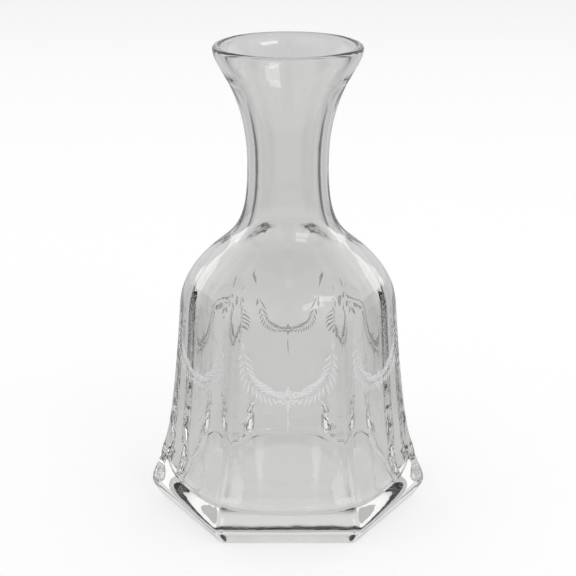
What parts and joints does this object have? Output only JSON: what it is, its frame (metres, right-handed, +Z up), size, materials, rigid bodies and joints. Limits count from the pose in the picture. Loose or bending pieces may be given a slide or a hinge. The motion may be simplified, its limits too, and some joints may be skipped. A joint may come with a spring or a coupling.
{
  "type": "wine decanter",
  "caption": "Clear panel-cut glass wine decanter with a hexagonal foot, a six-panelled bell-shaped body engraved with leaf garlands, a round waisted neck and a flared lip, open and without a stopper.",
  "frame": {"origin": "the middle of the flat underside, where the decanter stands on the table", "axes": "+Z is up, out of the mouth; -Y is the front, square to one panel; +X and -X each point at an arris"},
  "size_m": [0.1486, 0.1298, 0.25],
  "materials": {
    "clear_glass": "polished, clear, neutral"
  },
  "bodies": {
    "root": {"foot": "clear_glass", "body": "clear_glass", "shoulder": "clear_glass", "neck": "clear_glass", "lip": "clear_glass"}
  },
  "joints": []
}
